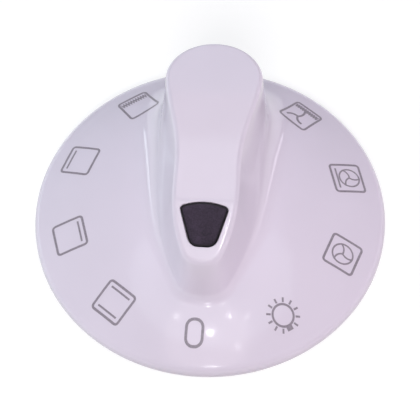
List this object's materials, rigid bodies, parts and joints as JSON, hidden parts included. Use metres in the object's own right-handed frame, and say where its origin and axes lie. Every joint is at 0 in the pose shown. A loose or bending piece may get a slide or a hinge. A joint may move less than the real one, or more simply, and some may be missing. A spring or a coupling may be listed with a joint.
{
  "type": "oven control knob",
  "caption": "Domed dial with a waisted finger grip, a dark pointer insert in the grip's sloping nose and a split boss for a D spindle, hollow underneath.",
  "frame": {"origin": "on the spindle's axis, in the plane of the skirt's rim", "axes": "+Z along the spindle, out of the oven; the grip's nose and the pointer insert face -Y; +X to the right of someone who looks along +Y"},
  "size_m": [0.064, 0.064, 0.0229],
  "materials": {
    "knob_plastic": "gloss moulded, white with a faint lilac cast",
    "insert_plastic": "finely grained, charcoal",
    "clip_steel": "rolled spring strip"
  },
  "bodies": {
    "root": {"knob_body": "knob_plastic", "pointer_insert": "insert_plastic", "boss_clip": "clip_steel"}
  },
  "joints": []
}
